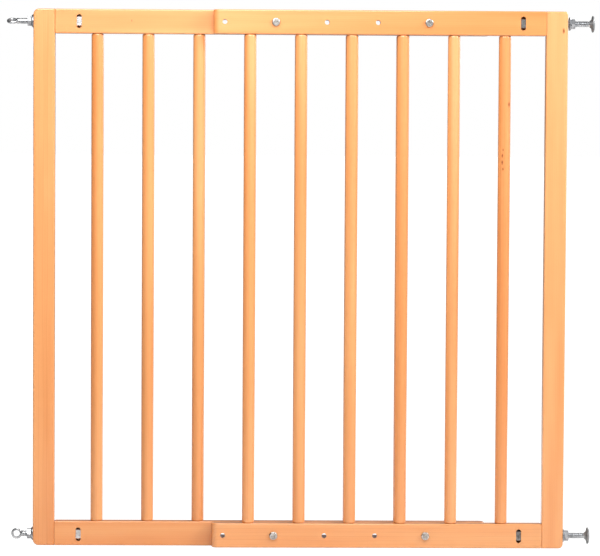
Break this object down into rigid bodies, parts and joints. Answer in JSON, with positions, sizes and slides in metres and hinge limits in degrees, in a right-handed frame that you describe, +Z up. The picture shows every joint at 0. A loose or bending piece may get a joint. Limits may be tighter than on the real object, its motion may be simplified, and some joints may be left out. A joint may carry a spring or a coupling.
{
  "type": "extending wooden safety gate",
  "caption": "Extending wooden baby gate: two overlapping ladder frames of round dowels that slide to set the width, with eye bolts on the hinge side and disc bolts on the latch side.",
  "frame": {"origin": "on the floor under the middle of the gate: halfway between the upper hinge eye and the latch discs, and in the plane where the two panels meet", "axes": "+X from the hinge stile to the latch stile, +Y from the front panel to the rear panel, +Z up"},
  "size_m": [0.79, 0.043, 0.725],
  "materials": {
    "lacquered_beech": "satin clear lacquer",
    "wooden_pin": "raw",
    "zinc_steel": "bright zinc plating",
    "zinc_steel_nut": "bright zinc plating",
    "nickel_steel": "nickel plating"
  },
  "bodies": {
    "rear_panel": {"left_stile": "lacquered_beech", "rear_top_rail": "lacquered_beech", "rear_bottom_rail": "lacquered_beech", "rear_dowel_1": "lacquered_beech", "rear_dowel_2": "lacquered_beech", "rear_dowel_3": "lacquered_beech", "rear_dowel_4": "lacquered_beech", "rear_dowel_5": "lacquered_beech", "rear_dowel_6": "lacquered_beech", "rear_dowel_7": "lacquered_beech", "rear_top_corner_pins": "wooden_pin", "rear_bottom_corner_pins": "wooden_pin", "rear_top_captive_nut": "zinc_steel_nut", "rear_bottom_captive_nut": "zinc_steel_nut"},
    "front_panel": {"right_stile": "lacquered_beech", "front_top_rail": "lacquered_beech", "front_bottom_rail": "lacquered_beech", "front_dowel_4": "lacquered_beech", "front_dowel_5": "lacquered_beech", "front_dowel_6": "lacquered_beech", "front_dowel_7": "lacquered_beech", "front_dowel_8": "lacquered_beech", "front_dowel_9": "lacquered_beech", "front_top_corner_pins": "wooden_pin", "front_bottom_corner_pins": "wooden_pin", "front_top_captive_nut": "zinc_steel_nut", "front_bottom_captive_nut": "zinc_steel_nut", "connector_screw_top_2": "nickel_steel", "connector_screw_top_5": "nickel_steel", "connector_screw_bottom_2": "nickel_steel", "connector_screw_bottom_5": "nickel_steel", "sleeve_nut_top_2": "nickel_steel", "sleeve_nut_top_5": "nickel_steel", "sleeve_nut_bottom_2": "nickel_steel", "sleeve_nut_bottom_5": "nickel_steel"},
    "eye_bolt_top": {"eye_bolt_top": "zinc_steel"},
    "eye_bolt_bottom": {"eye_bolt_bottom": "zinc_steel"},
    "eye_lock_nut_top": {"eye_lock_nut_top": "zinc_steel_nut"},
    "eye_lock_nut_bottom": {"eye_lock_nut_bottom": "zinc_steel_nut"},
    "disc_bolt_top": {"disc_bolt_top": "zinc_steel"},
    "disc_bolt_bottom": {"disc_bolt_bottom": "zinc_steel"},
    "disc_lock_nut_top": {"disc_lock_nut_top": "zinc_steel_nut"},
    "disc_lock_nut_bottom": {"disc_lock_nut_bottom": "zinc_steel_nut"}
  },
  "joints": [
    {"name": "width_slide", "type": "slide", "parent": "rear_panel", "child": "front_panel", "axis": [1, 0, 0], "range_m": [-0.0685, 0.0685]},
    {"name": "eye_bolt_top_travel", "type": "slide", "parent": "rear_panel", "child": "eye_bolt_top", "axis": [-1, 0, 0], "range_m": [-0.004, 0.012]},
    {"name": "eye_lock_nut_top_travel", "type": "slide", "parent": "rear_panel", "child": "eye_lock_nut_top", "axis": [-1, 0, 0], "range_m": [0, 0.004]},
    {"name": "disc_bolt_top_travel", "type": "slide", "parent": "front_panel", "child": "disc_bolt_top", "axis": [1, 0, 0], "range_m": [-0.01, 0.012]},
    {"name": "disc_lock_nut_top_travel", "type": "slide", "parent": "front_panel", "child": "disc_lock_nut_top", "axis": [1, 0, 0], "range_m": [-0.002, 0.006]},
    {"name": "eye_bolt_bottom_travel", "type": "slide", "parent": "rear_panel", "child": "eye_bolt_bottom", "axis": [-1, 0, 0], "range_m": [-0.004, 0.012]},
    {"name": "eye_lock_nut_bottom_travel", "type": "slide", "parent": "rear_panel", "child": "eye_lock_nut_bottom", "axis": [-1, 0, 0], "range_m": [0, 0.004]},
    {"name": "disc_bolt_bottom_travel", "type": "slide", "parent": "front_panel", "child": "disc_bolt_bottom", "axis": [1, 0, 0], "range_m": [-0.01, 0.012]},
    {"name": "disc_lock_nut_bottom_travel", "type": "slide", "parent": "front_panel", "child": "disc_lock_nut_bottom", "axis": [1, 0, 0], "range_m": [0, 0.008]}
  ]
}
